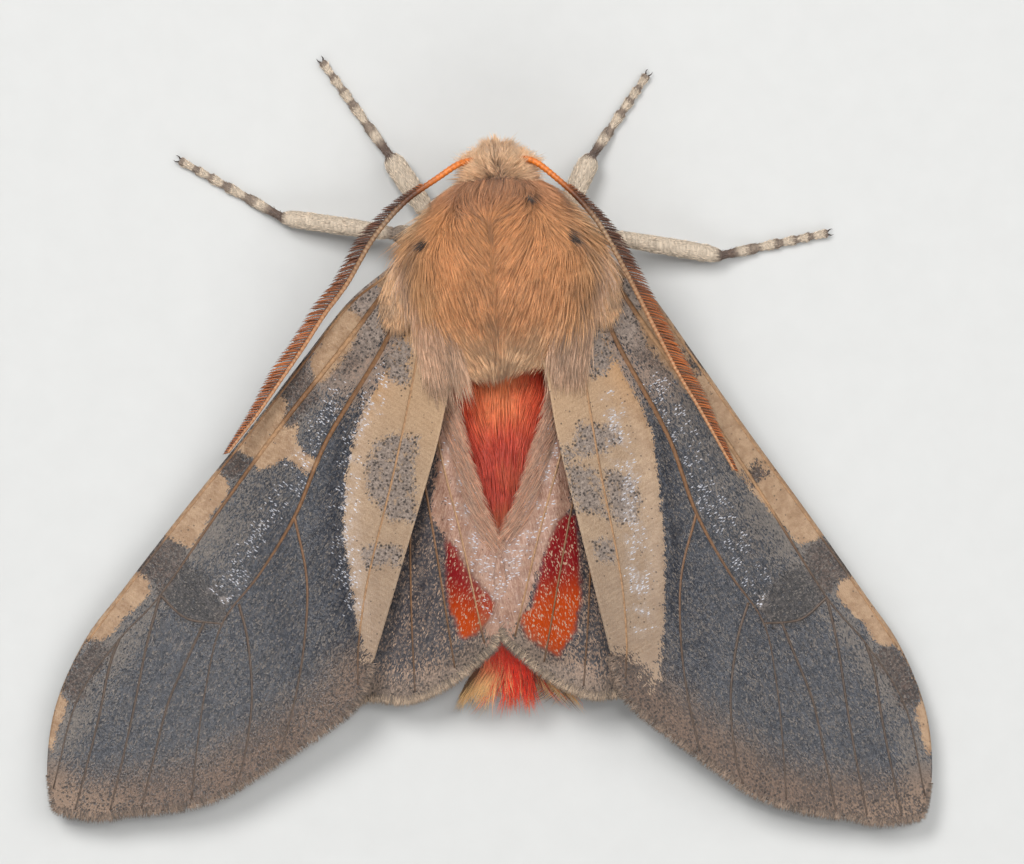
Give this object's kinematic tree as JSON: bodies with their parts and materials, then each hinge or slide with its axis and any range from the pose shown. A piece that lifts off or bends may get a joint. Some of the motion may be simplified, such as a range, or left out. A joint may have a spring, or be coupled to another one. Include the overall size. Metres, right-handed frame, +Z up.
{
  "type": "edwards glassy-wing moth",
  "caption": "Still life-size model of a furry tiger moth at rest on a surface, glassy patterned wings spread flat, combed antennae laid back over them.",
  "frame": {"origin": "middle of the footprint's bounding box, on the floor that the feet rest on", "axes": "+X towards the moth's right wing, across the wings, +Y towards its head, +Z up from the floor it rests on"},
  "size_m": [0.0443, 0.0402, 0.0094],
  "materials": {
    "head_fur": "long soft cream hair",
    "thorax_fur": "long soft tan hair",
    "abdomen_fur": "soft orange-red hair, cream at the tail",
    "eye": "dark, glossy",
    "palp_fur": "short hair",
    "antenna": "rusty brown, matt",
    "forewing": "thin smoky membrane with cream and grey-brown scales",
    "hindwing": "thin membrane with pale pinkish scales",
    "leg_fur": "cream scales banded grey-brown"
  },
  "bodies": {
    "root": {"head": "head_fur", "thorax": "thorax_fur", "abdomen": "abdomen_fur", "eye_left": "eye", "palp_left": "palp_fur", "antenna_left": "antenna", "forewing_left": "forewing", "hindwing_left": "hindwing", "leg_fore_left": "leg_fur", "leg_mid_left": "leg_fur", "leg_hind_left": "leg_fur", "eye_right": "eye", "palp_right": "palp_fur", "antenna_right": "antenna", "forewing_right": "forewing", "hindwing_right": "hindwing", "leg_fore_right": "leg_fur", "leg_mid_right": "leg_fur", "leg_hind_right": "leg_fur"}
  },
  "joints": []
}
